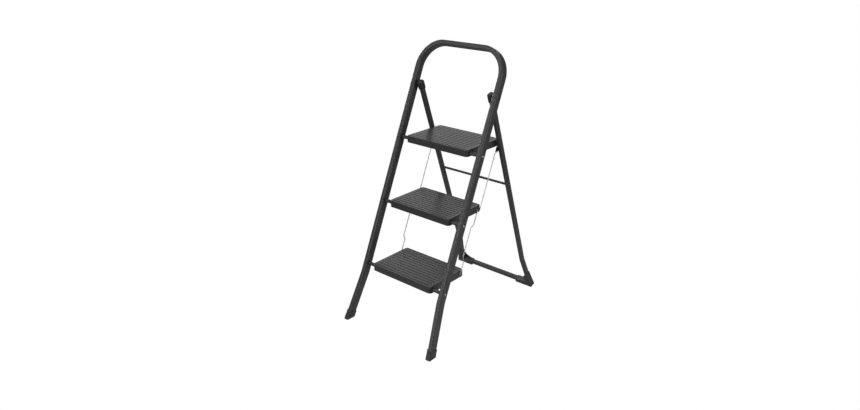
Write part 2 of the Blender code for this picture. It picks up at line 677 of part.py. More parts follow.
# ---------------------------------------------------------------- link wires
def link_wire(name, side, level, eye, jog, finish, parent):
    """A stiff wire between two treads, its ends bent inwards through the skirts."""
    low = link_eye(level, eye)
    high = link_eye(level + 1, eye)
    up = (high - low).normalized()
    forward = Vector((0, -up.z, up.y))
    span = (high - low).length
    bend = LINK_BEND
    corner_steps = 4
    middle = [(0.0, 0.0)]
    if jog:
        first, second, third, fourth = LOWER_LINK_JOG_SPAN
        middle += [(first, 0.0), (second, LOWER_LINK_JOG), (third, LOWER_LINK_JOG), (fourth, 0.0)]
    middle.append((span, 0.0))
    points = [Vector((side * LINK_END, 0, 0)) + low]
    for step in range(corner_steps + 1):
        angle = math.radians(90 * step / corner_steps)
        x = LINK_SIDE - bend + bend * math.sin(angle)
        points.append(Vector((side * x, 0, 0)) + low + up * (bend * (1 - math.cos(angle))))
    for along, out in middle[1:-1]:
        points.append(Vector((side * LINK_SIDE, 0, 0)) + low + up * along + forward * out)
    for step in range(corner_steps + 1):
        angle = math.radians(90 * (1 - step / corner_steps))
        x = LINK_SIDE - bend + bend * math.sin(angle)
        points.append(Vector((side * x, 0, 0)) + high - up * (bend * (1 - math.cos(angle))))
    points.append(Vector((side * LINK_END, 0, 0)) + high)

    rings = []
    reference = forward.copy()
    for i, point in enumerate(points):
        behind = (point - points[max(i - 1, 0)]).normalized() if i else points[1] - point
        ahead = (points[min(i + 1, len(points) - 1)] - point)
        ahead = ahead.normalized() if ahead.length else behind
        along = (behind.normalized() + ahead.normalized()).normalized()
        reference = (reference - along * reference.dot(along)).normalized()
        other = along.cross(reference)
        ring = [point + reference * u + other * v for u, v in circle(LINK_RADIUS, 10)]
        rings.append(ring)
    new_object(name, loft("link", rings), finish, parent)


def link_clip(name, side, centre, finish, parent):
    """A push-on washer that holds a wire's pin inside the skirt."""
    outer_x = TREAD_HALF_WIDTH - TREAD_SHEET - GAP
    outer = ((side * (outer_x - CLIP_THICKNESS), CLIP_RADIUS), (side * outer_x, CLIP_RADIUS))
    mesh = x_sleeve("clip", centre, outer, LINK_RADIUS + GAP, 12)
    new_object(name, mesh, finish, parent)


# ---------------------------------------------------------------- assembly
def build():
    for old in list(bpy.data.objects):
        bpy.data.objects.remove(old, do_unlink=True)

    powder_coat = material("powder_coat", (0.065, 0.063, 0.064), 0.5, 0.0)
    tread_coat = material("tread_coat", (0.085, 0.084, 0.084), 0.6, 0.0)
    black_plastic = material("black_plastic", (0.030, 0.030, 0.031), 0.55, 0.0)
    zinc = material("zinc_steel", (0.62, 0.60, 0.57), 0.35, 1.0)
    dark_steel = material("dark_steel", (0.050, 0.050, 0.052), 0.45, 0.6)

    root = axis_empty("front_frame_origin", Vector((0, 0, 0)))
    rear = axis_empty("rear_frame_axis", PIVOT)
    steps = [axis_empty(f"{name}_step_axis", step_axis(i)) for i, name in enumerate(STEP_NAMES)]

    front_frame(powder_coat, root)
    rear_crossbar(powder_coat, rear)
    rear_base_bar(powder_coat, rear)
    for side_name, side in SIDES:
        front_foot(side_name, side, black_plastic, root)
        rear_leg(side_name, side, powder_coat, rear)
        rear_elbow(side_name, side, black_plastic, rear)
        rear_cap(side_name, side, black_plastic, rear)
        pivot_hardware(side_name, side, black_plastic, dark_steel, root, rear)
        support_stud(side_name, side, zinc, rear)
        step_hook(side_name, side, dark_steel, steps[2])

    for level, axis in enumerate(steps):
        tread(level, tread_coat, axis)
        step_hardware(level, powder_coat, black_plastic, zinc, root, axis)
        tread_stiffener(level, powder_coat, axis)

    wires = (("upper", 1, UPPER_LINK_EYE, False), ("lower", 0, LOWER_LINK_EYE, True))
    for link_name, level, eye, jog in wires:
        for side_name, side in SIDES:
            name = f"{link_name}_link_{side_name}"
            top_eye = link_eye(level + 1, eye)
            axis = axis_empty(name + "_axis", top_eye)
            link_wire(name, side, level, eye, jog, zinc, axis)
            link_clip(f"{link_name}_clip_top_{side_name}", side, top_eye, zinc, axis)
            link_clip(f"{link_name}_clip_low_{side_name}", side, link_eye(level, eye), zinc, axis)


build()
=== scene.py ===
"""Looks of a folding three-step ladder: fine tubes, pressed treads, moulded boots and wires.

Metres, +Z up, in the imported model's frame. Every fine piece takes its place from the frame.
"""
import json
import math

import bmesh
import bpy
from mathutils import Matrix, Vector


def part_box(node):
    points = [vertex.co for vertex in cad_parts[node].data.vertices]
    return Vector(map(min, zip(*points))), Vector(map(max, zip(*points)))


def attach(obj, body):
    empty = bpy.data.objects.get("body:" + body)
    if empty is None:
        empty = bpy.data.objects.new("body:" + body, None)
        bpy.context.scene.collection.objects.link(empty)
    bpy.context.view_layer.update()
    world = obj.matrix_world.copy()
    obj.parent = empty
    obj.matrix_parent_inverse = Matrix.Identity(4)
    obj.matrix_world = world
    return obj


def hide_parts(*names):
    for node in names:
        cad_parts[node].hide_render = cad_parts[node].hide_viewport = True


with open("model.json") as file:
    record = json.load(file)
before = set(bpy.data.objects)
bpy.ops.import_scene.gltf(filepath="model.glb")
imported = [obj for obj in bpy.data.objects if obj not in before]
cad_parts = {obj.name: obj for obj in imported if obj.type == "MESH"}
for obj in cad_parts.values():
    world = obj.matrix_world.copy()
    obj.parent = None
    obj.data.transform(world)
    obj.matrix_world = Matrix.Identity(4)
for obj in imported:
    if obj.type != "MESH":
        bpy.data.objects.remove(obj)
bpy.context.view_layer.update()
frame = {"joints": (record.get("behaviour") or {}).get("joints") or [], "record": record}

RECORD = frame["record"]
BODY_OF = {node: body for body, nodes in RECORD["behaviour"]["bodies"].items() for node in nodes}
SLOT_OF = {part["node"]: part["material_slot"] for part in RECORD["subparts"]}
JOINT_AT = {joint["name"]: Vector(joint["pos_m"]) for joint in frame["joints"]}
SIDES = (("left", -1), ("right", 1))
STEP_NAMES = ("bottom", "middle", "top")

# ---------------------------------------------------------------- dimensions
GAP = 0.0003
SKIN = 0.0001                   # fine pieces stay this far inside the plain ones
RAIL_WIDTH = 0.0195
RAIL_DEPTH = 0.0340
RAIL_CORNER = 0.0045
RAIL_HALF_SPACING = 0.2013
RAIL_BEND_HEIGHT = 0.1906
RAIL_SPLAY = 0.0212
RAIL_BEND_RADIUS = 0.1000
HOOP_HEIGHT = 1.080
HOOP_RADIUS = 0.104
TUBE_WALL = 0.0012

LEG_WIDTH = 0.0165
LEG_DEPTH = 0.0200
LEG_CORNER = 0.0035
LEG_HALF_SPACING = 0.1734
LEG_BEND_HEIGHT = 0.1429
LEG_SPLAY = 0.0205
LEG_BEND_RADIUS = 0.1000
LEG_SEAT = 0.0280
BASE_BAR_HEIGHT = 0.0170
BASE_BAR_RISE = 0.0102
BASE_BAR_INSET = 0.0040
CROSSBAR_RADIUS = 0.0050
CROSSBAR_DOME = ((0.0, 0.16), (0.0003, 0.52), (0.0010, 0.82), (0.0022, 1.0))   # depth, share of radius

FOOT_HEIGHT = 0.0345
FOOT_LIP = 0.0060
FOOT_WALL = 0.0022
FOOT_SOLE = 0.0125
FOOT_CORNER_TRIM = 0.0012       # the boots' corners are this much tighter than an even wall gives
# Boot wall from the ground up: (height, change of wall), then the lip's foot and the rim.
FOOT_TREAD = ((0.0, -0.0008), (0.0002, -0.0002), (0.0008, 0.0), (0.0030, 0.0), (0.0036, -0.0005),
              (0.0044, -0.0005), (0.0050, -0.0001))
FOOT_LIP_STEP = ((-0.0012, -0.0007), (-0.0006, -0.0006), (0.0, 0.0))
FOOT_RIM = ((-0.0020, 0.0), (-0.0010, -0.0004), (-0.0002, -0.0012), (0.0, -0.0016))
ELBOW_FRONT = -0.0165
ELBOW_REAR = 0.0118
ELBOW_SOLE_CUT = 0.0020
ELBOW_BAR_END = 0.1260
ELBOW_SOLE_WALL = 0.0165
ELBOW_OUTER_WALL = 0.0108
ELBOW_INNER_WALL = 0.0098
ELBOW_BAR_WALL = 0.0014
ELBOW_OUTER_TOP = 0.0770
ELBOW_INNER_TOP = 0.0600
ELBOW_SHOULDER = 0.0060         # the collar narrows over this length at its top
ELBOW_TOE_RADIUS = 0.0025
ELBOW_SHOULDER_RADIUS = 0.0040
ELBOW_CROOK_RADIUS = 0.0030
ELBOW_EDGE = 0.0010
# the left elbow's web: a dark piece put in its inner corner to stand for the shade there
SHADE_WEB_TOP = 0.0540
SHADE_WEB_FACES = (0.0070, 0.0110)
CAP_WALL = 0.0022
CAP_BELOW = 0.0210
CAP_ABOVE = 0.0168
CAP_CROWN = 0.0055              # radius of the rounding round the crown
BOSS_RADIUS = 0.0095
BOLT_RADIUS = 0.0030
BOLT_HEAD_RADIUS = 0.0056
BOLT_HEAD_HEIGHT = 0.0011
NUT_RADIUS = 0.0058
NUT_HEIGHT = 0.0039
RIVET_HEAD_RADIUS = 0.0043
RIVET_DOME_HEIGHT = 0.0013
EDGE_BREAK = 0.0006             # softened edges of spacers and studs

TREAD_PLAN_RADIUS = 0.0135
TREAD_EDGE_RADIUS = 0.0022
TREAD_SHEET = 0.0012
TREAD_RIM = 0.0100              # plain border at the treads' sides
TREAD_LIP = 0.0050              # and at their front and rear edges
GROOVE_COUNT = 12
FIRST_GROOVE = 0.0096           # middle of the outermost grooves inside the edge
GROOVE_WIDTH = 0.0064
GROOVE_DEPTH = 0.0014
GROOVE_END = 0.0060             # length over which a groove runs out

PIVOT_TUBE_RADIUS = 0.00725
PIVOT_TUBE_BORE = 0.00575
BUSH_FLANGE = 0.0011
BUSH_LENGTH = 0.0110
LINK_RADIUS = 0.0018
LINK_SIDE = 0.1580
LINK_END = 0.1425
LINK_BEND = 0.0050
LOWER_LINK_JOG = 0.0130
LOWER_LINK_JOG_SPAN = (0.058, 0.072, 0.192, 0.206)
LOWER_LINK_JOG_BEND = 0.0045
CLIP_RADIUS = 0.0042
CLIP_CHAMFER = 0.0003
STUD_RADIUS = 0.0040
HOOK_PLATE = 0.0025
HOOK_INNER_FACE = 0.1610
HOOK_FOOT = 0.1250
HOOK_SETBACK = 0.1752
HOOK_TAIL = 0.0105
HOOK_NOSE = 0.0175
HOOK_NOSE_DROP = 0.0070
HOOK_BEND = 0.0030
HOOK_NOTCH_FROM = -20.0         # degrees round the stud, from the rear upwards
HOOK_NOTCH_TURN = 163.0
CUT_REACH = 0.17                # holes are cut out to this far from the middle
EDGE_HOLD = 0.0004              # keeps the shading of a tube's flats flat, right up to its corners
SHARP_ANGLE = math.radians(32)

CAMERA_LENS = 28.35
CAMERA_RIGHT = 1.618
CAMERA_AHEAD = 1.622            # in front of the point where the rails' plane meets the ground
CAMERA_HEIGHT = 1.496
CAMERA_TILT = math.radians(67.79)
CAMERA_TURN = math.radians(40.77)
FLOOR_REACH = 30.0
# painted light: the floor glows in a pool round the ladder; its radius and its glow at the edge and in the
# middle
POOL_RADIUS = 1.5
POOL_EDGE = 0.120
POOL_MIDDLE = 0.425
AIM_HEIGHT = 0.5
# name, azimuth, elevation (degrees), distance, size (m), power (W)
SOFT_BOXES = (
    ("overhead", 0, 85, 7.7, 4.6, 270),
    ("front_panel", -15, 12, 4.0, 1.6, 40),
    ("front_high", -35, 32, 4.0, 1.6, 12),
    ("right_panel", 95, 14, 3.7, 3.0, 72),
    ("left_panel", -100, 20, 4.0, 2.0, 147),
    ("rear_panel", -143, 20, 4.4, 3.0, 19),
)

# ---------------------------------------------------------------- places from the frame
STEP_AXES = [JOINT_AT[f"{name}_step_fold"] for name in STEP_NAMES]
RISE = STEP_AXES[2] - STEP_AXES[0]
FRONT_LEAN = math.atan2(RISE.y, RISE.z)
FRONT_Y = STEP_AXES[2].y - STEP_AXES[2].z * math.tan(FRONT_LEAN)
PIVOT = JOINT_AT["rear_frame_fold"]
CROSSBAR = sum(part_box("rear_crossbar"), Vector()) / 2
REAR_LEAN = math.atan2(CROSSBAR.y - PIVOT.y, PIVOT.z - CROSSBAR.z)
REAR_Y = PIVOT.y + PIVOT.z * math.tan(REAR_LEAN)
HOOP_S = HOOP_HEIGHT / math.cos(FRONT_LEAN)
RAIL_BEND_S = RAIL_BEND_HEIGHT / math.cos(FRONT_LEAN)
LEG_BEND_T = LEG_BEND_HEIGHT / math.cos(REAR_LEAN)
PIVOT_T = PIVOT.z / math.cos(REAR_LEAN)
SOLE_RISE = -ELBOW_FRONT * math.tan(REAR_LEAN) - ELBOW_SOLE_CUT
BASE_BAR_T = SOLE_RISE + BASE_BAR_RISE
FRONT_NORMAL = Vector((0, math.cos(FRONT_LEAN), -math.sin(FRONT_LEAN)))
REAR_NORMAL = Vector((0, math.cos(REAR_LEAN), math.sin(REAR_LEAN)))


def front_point(x, s, n=0.0):
    """A point in the front frame: s up along the rails, n square to them, rearwards."""
    y = FRONT_Y + s * math.sin(FRONT_LEAN) + n * math.cos(FRONT_LEAN)
    return Vector((x, y, s * math.cos(FRONT_LEAN) - n * math.sin(FRONT_LEAN)))


def rear_point(x, t, n=0.0):
    """A point in the rear frame: t up along the legs, n square to them, rearwards."""
    y = REAR_Y - t * math.sin(REAR_LEAN) + n * math.cos(REAR_LEAN)
    return Vector((x, y, t * math.cos(REAR_LEAN) + n * math.sin(REAR_LEAN)))


def leg_x(t):
    return LEG_HALF_SPACING + LEG_SPLAY * max(0.0, 1 - t / LEG_BEND_T)


# ---------------------------------------------------------------- camera, floor and light
def camera():
    data = bpy.data.cameras.new("camera")
    data.lens = CAMERA_LENS
    made = bpy.data.objects.new("camera", data)
    made.location = (CAMERA_RIGHT, FRONT_Y - CAMERA_AHEAD, CAMERA_HEIGHT)
    made.rotation_euler = (CAMERA_TILT, 0, CAMERA_TURN)
    bpy.context.scene.collection.objects.link(made)
    bpy.context.scene.camera = made


def soft_box(name, azimuth, elevation, distance, size, power):
    """A square light aimed at the ladder; azimuth runs from the front (0) to its right side (90)."""
    data = bpy.data.lights.new(name, "AREA")
    data.shape = "SQUARE"
    data.size = size
    data.energy = power
    made = bpy.data.objects.new(name, data)
    around = math.radians(azimuth)
    up = math.radians(elevation)
    away = Vector((math.sin(around) * math.cos(up), -math.cos(around) * math.cos(up), math.sin(up)))
    made.location = Vector((0, 0, AIM_HEIGHT)) + away * distance
    made.rotation_euler = away.to_track_quat("Z", "Y").to_euler()
    made.visible_camera = False
    bpy.context.scene.collection.objects.link(made)


def seen_white(nodes, links, hidden, output, white):
    """White to the camera, and the hidden shader to every other ray."""
    white.inputs["Color"].default_value = (1, 1, 1, 1)
    white.inputs["Strength"].default_value = 1.0
    path = nodes.new("ShaderNodeLightPath")
    mix = nodes.new("ShaderNodeMixShader")
    links.new(path.outputs["Is Camera Ray"], mix.inputs["Fac"])
    links.new(hidden, mix.inputs[1])
    links.new(white.outputs[0], mix.inputs[2])
    links.new(mix.outputs["Shader"], output.inputs["Surface"])


def studio():
    scene = bpy.context.scene
    scene.view_settings.view_transform = "Standard"
    scene.view_settings.look = "None"
    world = bpy.data.worlds.new("studio")
    world.use_nodes = True
    nodes = world.node_tree.nodes
    dim = nodes["Background"]
    dim.inputs["Color"].default_value = (1, 1, 1, 1)
    dim.inputs["Strength"].default_value = 0.01
    seen_white(nodes, world.node_tree.links, dim.outputs[0], nodes["World Output"],
               nodes.new("ShaderNodeBackground"))
    scene.world = world

    floor_mesh = bpy.data.meshes.new("floor")
    corners = [(x * FLOOR_REACH, y * FLOOR_REACH, 0) for x, y in ((-1, -1), (1, -1), (1, 1), (-1, 1))]
    floor_mesh.from_pydata(corners, [], [(0, 1, 2, 3)])
    floor = bpy.data.objects.new("floor", floor_mesh)
    scene.collection.objects.link(floor)
    floor_mesh.materials.append(glowing_pool_floor())

    for box in SOFT_BOXES:
        soft_box(*box)


def glowing_pool_floor():
    """White to the camera; to every other ray a near-black floor that glows as a painted pool of light
    round the ladder.
    """
    paint = bpy.data.materials.new("glowing_pool_floor")
    paint.use_nodes = True
    nodes = paint.node_tree.nodes
    links = paint.node_tree.links
    place = nodes.new("ShaderNodeTexCoord")
    pool = nodes.new("ShaderNodeMapping")
    pool.inputs["Scale"].default_value = [1 / POOL_RADIUS] * 3
    fall = nodes.new("ShaderNodeTexGradient")
    fall.gradient_type = "SPHERICAL"
    level = nodes.new("ShaderNodeMapRange")
    level.inputs["To Min"].default_value = POOL_EDGE
    level.inputs["To Max"].default_value = POOL_MIDDLE
    links.new(place.outputs["Object"], pool.inputs["Vector"])
    links.new(pool.outputs["Vector"], fall.inputs["Vector"])
    links.new(fall.outputs["Fac"], level.inputs["Value"])
    shader = nodes["Principled BSDF"]
    shader.inputs["Base Color"].default_value = (0.01, 0.01, 0.01, 1)
    shader.inputs["Roughness"].default_value = 0.9
    shader.inputs["Specular IOR Level"].default_value = 0.0
    shader.inputs["Emission Color"].default_value = (1, 1, 1, 1)
    # painted light: the floor's glow, brightest in the pool's middle, lights the ladder from below
    links.new(level.outputs["Result"], shader.inputs["Emission Strength"])
    seen_white(nodes, links, shader.outputs[0], nodes["Material Output"],
               nodes.new("ShaderNodeEmission"))
    return paint


# ---------------------------------------------------------------- materials
class Paint:
    """A node-based material over object coordinates, built up layer by layer."""

    def __init__(self, name):
        self.made = bpy.data.materials.new(name)
        self.made.use_nodes = True
        self.nodes = self.made.node_tree.nodes
        self.links = self.made.node_tree.links
        self.shader = self.nodes["Principled BSDF"]
        self.place = self.nodes.new("ShaderNodeTexCoord").outputs["Object"]

    def stretched(self, scale):
        """Coordinates scaled along each axis, for marks with a direction."""
        mapping = self.nodes.new("ShaderNodeMapping")
        mapping.inputs["Scale"].default_value = scale
        self.links.new(self.place, mapping.inputs["Vector"])
        return mapping.outputs["Vector"]

    def noise(self, scale, detail=3.0, rough=0.5, place=None):
        made = self.nodes.new("ShaderNodeTexNoise")
        made.inputs["Scale"].default_value = scale
        made.inputs["Detail"].default_value = detail
        made.inputs["Roughness"].default_value = rough
        self.links.new(place or self.place, made.inputs["Vector"])
        return made.outputs["Fac"]

    def cells(self, scale):
        made = self.nodes.new("ShaderNodeTexVoronoi")
        made.inputs["Scale"].default_value = scale
        self.links.new(self.place, made.inputs["Vector"])
        return made.outputs["Distance"]

    def spread(self, value, low, high, low_in=0.3, high_in=0.7):
        """A texture's middle range spread over low to high."""
        made = self.nodes.new("ShaderNodeMapRange")
        made.inputs["From Min"].default_value = low_in
        made.inputs["From Max"].default_value = high_in
        made.inputs["To Min"].default_value = low
        made.inputs["To Max"].default_value = high
        self.links.new(value, made.inputs["Value"])
        return made.outputs["Result"]

    def blend(self, value, first, second):
        made = self.nodes.new("ShaderNodeMix")
        made.data_type = "RGBA"
        for socket, colour in ((made.inputs[6], first), (made.inputs[7], second)):
            if isinstance(colour, tuple):
                socket.default_value = (*colour, 1)
            else:
                self.links.new(colour, socket)
        self.links.new(value, made.inputs[0])
        return made.outputs[2]

    def bump(self, value, depth, strength=1.0, under=None):
        made = self.nodes.new("ShaderNodeBump")
        made.inputs["Distance"].default_value = depth
        made.inputs["Strength"].default_value = strength
        self.links.new(value, made.inputs["Height"])
        if under is not None:
            self.links.new(under, made.inputs["Normal"])
        return made.outputs["Normal"]

    def to(self, socket, value):
        """Set a shader input, or link a node's output to it."""
        if isinstance(value, (int, float)):
            self.shader.inputs[socket].default_value = value
        else:
            self.links.new(value, self.shader.inputs[socket])


def powder_coat(name, dark, light, rough, texture):
    """Satin powder coat: clouded colour, fine orange peel, a speckle of coarser grains."""
    paint = Paint(name)
    clouds = paint.noise(9.0, 4.0)
    grain = paint.noise(3600.0, 1.0)
    colour = paint.blend(paint.spread(clouds, 0.0, 1.0), dark, light)
    fleck = paint.spread(grain, 0.0, 1.0, 0.62, 0.80)
    brighter = tuple(min(1.0, c * 1.5) for c in light)
    paint.to("Base Color", paint.blend(fleck, colour, brighter))
    wear = paint.noise(55.0, 5.0, 0.65)
    paint.to("Roughness", paint.spread(wear, rough - 0.03, rough + 0.04))
    peel = paint.bump(paint.noise(1100.0, 1.0), 0.000012 * texture)
    paint.to("Normal", paint.bump(grain, 0.000004 * texture, 1.0, peel))
    return paint.made


def moulded_plastic(name, dark, light):
    """Spark-eroded grain with faint flow marks."""
    paint = Paint(name)
    flow = paint.noise(30.0, 3.0, 0.5, paint.stretched((1.0, 1.0, 0.25)))
    paint.to("Base Color", paint.blend(paint.spread(flow, 0.0, 1.0), dark, light))
    paint.to("Roughness", paint.spread(paint.noise(80.0, 4.0), 0.33, 0.41))
    pits = paint.bump(paint.cells(2200.0), 0.000012)
    paint.to("Normal", paint.bump(paint.noise(1200.0, 1.0), 0.000008, 1.0, pits))
    return paint.made


def plated_steel(name, dark, light, rough, metal):
    """Zinc-plated wire and rivets: drawing lines and small dull patches."""
    paint = Paint(name)
    patches = paint.noise(160.0, 4.0, 0.6)
    paint.to("Base Color", paint.blend(paint.spread(patches, 0.0, 1.0), dark, light))
    paint.to("Metallic", metal)
    lines = paint.noise(900.0, 2.0, 0.5, paint.stretched((1.0, 1.0, 0.05)))
    paint.to("Roughness", paint.spread(lines, rough - 0.06, rough + 0.08))
    paint.to("Normal", paint.bump(lines, 0.00002))
    return paint.made


MATERIALS = {
    "powder_coat": powder_coat("powder_coat", (0.052, 0.048, 0.050), (0.058, 0.054, 0.056), 0.33, 1.0),
    "tread_steel": powder_coat("tread_steel", (0.051, 0.048, 0.049), (0.057, 0.054, 0.055), 0.26, 1.0),
    "black_plastic": moulded_plastic("black_plastic", (0.033, 0.033, 0.033), (0.039, 0.039, 0.039)),
    "zinc_steel": plated_steel("zinc_steel", (0.56, 0.54, 0.51), (0.68, 0.66, 0.63), 0.36, 0.85),
    "dark_steel": plated_steel("dark_steel", (0.030, 0.030, 0.031), (0.045, 0.045, 0.047), 0.40, 0.6),
}


# ---------------------------------------------------------------- mesh helpers
def new_object(name, mesh, slot):
    mesh.shade_smooth()
    mesh.set_sharp_from_angle(angle=SHARP_ANGLE)
    mesh.materials.clear()
    mesh.materials.append(MATERIALS[slot])
    made = bpy.data.objects.new(name, mesh)
    bpy.context.scene.collection.objects.link(made)
    return made


def stand_for(node, mesh, name=None):
    """A fine piece in place of a CAD node, on the same body and with the same finish."""
    made = new_object(name or node + "_fine", mesh, SLOT_OF[node])
    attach(made, BODY_OF[node])
    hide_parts(node)
    return made


def loft(name, rings, closed=False):
    """Skin rings of equal size; a closed loft joins its last ring to its first."""
    shape = bmesh.new()
    loops = [[shape.verts.new(point) for point in ring] for ring in rings]
    count = len(rings[0])
    pairs = list(zip(loops, loops[1:]))
    if closed:
        pairs.append((loops[-1], loops[0]))
    for lower, upper in pairs:
        for i in range(count):
            j = (i + 1) % count
            shape.faces.new((lower[i], lower[j], upper[j], upper[i]))
    if not closed:
        shape.faces.new(reversed(loops[0]))
        shape.faces.new(loops[-1])
    return to_mesh(name, shape)


def to_mesh(name, shape):
    bmesh.ops.recalc_face_normals(shape, faces=shape.faces)
    mesh = bpy.data.meshes.new(name)
    shape.to_mesh(mesh)
    shape.free()
    return mesh


def rounded_rect(width, depth, radius, steps=7):
    """Outline with round corners, and a holding point on the flats beside each corner."""
    hold = min(EDGE_HOLD, (min(width, depth) - 2 * radius) / 4)
    points = []
    for side_u, side_v, start in ((1, 1, 0), (-1, 1, 90), (-1, -1, 180), (1, -1, 270)):
        centre = Vector((side_u * (width / 2 - radius), side_v * (depth / 2 - radius)))
        for step in range(steps + 1):
            angle = math.radians(start + 90 * step / steps)
            spoke = Vector((math.cos(angle), math.sin(angle)))
            point = centre + spoke * radius
            along = Vector((-spoke.y, spoke.x)) * hold
            if step == 0:
                points.append(point - along)
            points.append(point)
            if step == steps:
                points.append(point + along)
    return [(p.x, p.y) for p in points]


def circle(radius, count):
    angles = [2 * math.pi * i / count for i in range(count)]
    return [(radius * math.cos(a), radius * math.sin(a)) for a in angles]


def arc(before, corner, after, radius, steps):
    """Points of the arc that rounds a corner between two straights."""
    inward = (before - corner).normalized()
    onward = (after - corner).normalized()
    half = inward.angle(onward) / 2
    centre = corner + (inward + onward).normalized() * (radius / math.sin(half))
    start = corner + inward * (radius / math.tan(half)) - centre
    end = corner + onward * (radius / math.tan(half)) - centre
    sweep = start.angle(end)
    points = []
    for step in range(steps + 1):
        k = step / steps
        mixed = start * math.sin((1 - k) * sweep) + end * math.sin(k * sweep)
        points.append(centre + mixed / math.sin(sweep))
    return points


def rounded_path(points, radii, steps):
    """A path through the points, with an arc of the given radius at each inner corner."""
    points = [Vector(point) for point in points]
    path = [points[0]]
    for before, corner, after, radius in zip(points, points[1:], points[2:], radii):
        path += arc(before, corner, after, radius, steps)
    path.append(points[-1])
    return path


def rounded_outline(points, radii, steps=5):
    """A closed outline whose corners are rounded; radius 0 keeps a corner sharp."""
    points = [Vector(point) for point in points]
    outline = []
    for i, corner in enumerate(points):
        if radii[i] == 0:
            outline.append(corner)
        else:
            outline += arc(points[i - 1], corner, points[(i + 1) % len(points)], radii[i], steps)
    return outline


def sweep(path, section, side):
    """Rings of a section (u across, v along side) carried along a path without twist."""
    rings = []
    last = len(path) - 1
    for i, point in enumerate(path):
        along = (path[min(i + 1, last)] - path[max(i - 1, 0)]).normalized()
        side = (side - along * side.dot(along)).normalized()
        across = along.cross(side)
        rings.append([point + across * u + side * v for u, v in section])
    return rings


def tube(name, path, width, depth, corner, side):
    """A hollow tube of rounded rectangular section."""
    outer = rounded_rect(width - 2 * SKIN, depth - 2 * SKIN, corner)
    inner = rounded_rect(width - 2 * TUBE_WALL, depth - 2 * TUBE_WALL, corner - TUBE_WALL)
    return loft(name, sweep(path, outer, side) + sweep(path, inner, side)[::-1], closed=True)


def turned(name, centre, profile, count=48, closed=False):
    """A profile (x, radius) turned about a line along X; a closed profile makes a sleeve."""
    rings = []
    for x, radius in profile:
        rings.append([Vector((x, centre.y + u, centre.z + v)) for u, v in circle(radius, count)])
    return loft(name, rings, closed)


def prism(name, outline, place, low, high):
    """An outline extruded from low to high; place(a, b, n) turns it into points."""
    rings = [[place(a, b, n) for a, b in outline] for n in (low, high)]
    return loft(name, rings)


def apply_all(made):
    """Bake an object's modifiers into its mesh."""
    graph = bpy.context.evaluated_depsgraph_get()
    mesh = bpy.data.meshes.new_from_object(made.evaluated_get(graph))
    made.modifiers.clear()
    made.data = mesh


def boolean(made, tools, operation):
    """Cut or join a piece with closed meshes, and bake the result."""
    helpers = []
    for mesh in tools:
        helper = bpy.data.objects.new("helper", mesh)
        bpy.context.scene.collection.objects.link(helper)
        helpers.append(helper)
        step = made.modifiers.new("step", "BOOLEAN")
        step.operation = operation
        step.solver = "EXACT"
        step.object = helper
    bpy.context.view_layer.update()
    apply_all(made)
    for helper in helpers:
        bpy.data.objects.remove(helper)


def bevel(made, width, segments=3):
    step = made.modifiers.new("bevel", "BEVEL")
    step.width = width
    step.segments = segments
    step.limit_method = "ANGLE"
    step.angle_limit = math.radians(40)
    step.harden_normals = False
    bpy.context.view_layer.update()
    apply_all(made)


def smooth(made):
    made.data.shade_smooth()
    made.data.set_sharp_from_angle(angle=SHARP_ANGLE)


# ---------------------------------------------------------------- front frame
def handrail():
    """One bent tube: both rails, their splayed ends and the hoop over the top."""
    foot_x = RAIL_HALF_SPACING + RAIL_SPLAY
    foot_s = FOOT_SOLE + GAP
    end_x = foot_x - RAIL_SPLAY * foot_s / RAIL_BEND_S
    corners = (
        (-end_x, foot_s),
        (-RAIL_HALF_SPACING, RAIL_BEND_S),
        (-RAIL_HALF_SPACING, HOOP_S),
        (RAIL_HALF_SPACING, HOOP_S),
        (RAIL_HALF_SPACING, RAIL_BEND_S),
        (end_x, foot_s),
    )
    points = [front_point(x, s) for x, s in corners]
    radii = (RAIL_BEND_RADIUS, HOOP_RADIUS, HOOP_RADIUS, RAIL_BEND_RADIUS)
    path = rounded_path(points, radii, 28)
    stand_for("front_frame", tube("rail", path, RAIL_WIDTH, RAIL_DEPTH, RAIL_CORNER, FRONT_NORMAL))


def boot(side_name, side):
    """Moulded boot with a level sole, a soft rim and a thickened lip round the tube."""
    along = Vector((-RAIL_SPLAY, RAIL_BEND_S)).normalized()
    across = Vector((along.y, -along.x))
    start = Vector((RAIL_HALF_SPACING + RAIL_SPLAY, 0.0))

    def section(grow):
        corner = RAIL_CORNER + grow - FOOT_CORNER_TRIM
        return rounded_rect(RAIL_WIDTH + 2 * grow, RAIL_DEPTH + 2 * grow, corner)

    def ring(grow, distance):
        points = []
        for u, v in section(grow):
            flat = start + across * u + along * distance
            points.append(front_point(side * flat.x, flat.y, v))
        return points

    def sole(grow, height):
        points = []
        for u, v in section(grow):
            flat = start + across * u
            reach = (height / math.cos(FRONT_LEAN) + v * math.tan(FRONT_LEAN) - flat.y) / along.y
            flat = flat + along * reach
            points.append(front_point(side * flat.x, flat.y, v))
        return points

    wall = GAP + FOOT_WALL - SKIN
    lip = FOOT_HEIGHT - FOOT_LIP
    rings = [sole(wall + change, height) for height, change in FOOT_TREAD]
    rings += [ring(wall + change, lip + rise) for rise, change in FOOT_LIP_STEP]
    rings += [ring(wall + change, FOOT_HEIGHT + rise) for rise, change in FOOT_RIM]
    rings += [ring(0.0002, FOOT_HEIGHT), ring(0.0002, FOOT_SOLE)]
    stand_for(f"front_foot_{side_name}", loft("boot", rings))


# ---------------------------------------------------------------- rear frame
def rear_leg(side_name, side):
    foot_t = SOLE_RISE + LEG_SEAT + GAP
    corners = (
        (side * leg_x(foot_t), foot_t),
        (side * LEG_HALF_SPACING, LEG_BEND_T),
        (side * LEG_HALF_SPACING, PIVOT_T + CAP_ABOVE - CAP_WALL - GAP),
    )
    path = rounded_path([rear_point(x, t) for x, t in corners], (LEG_BEND_RADIUS,), 16)
    stand_for(f"rear_leg_{side_name}", tube("leg", path, LEG_WIDTH, LEG_DEPTH, LEG_CORNER, REAR_NORMAL))


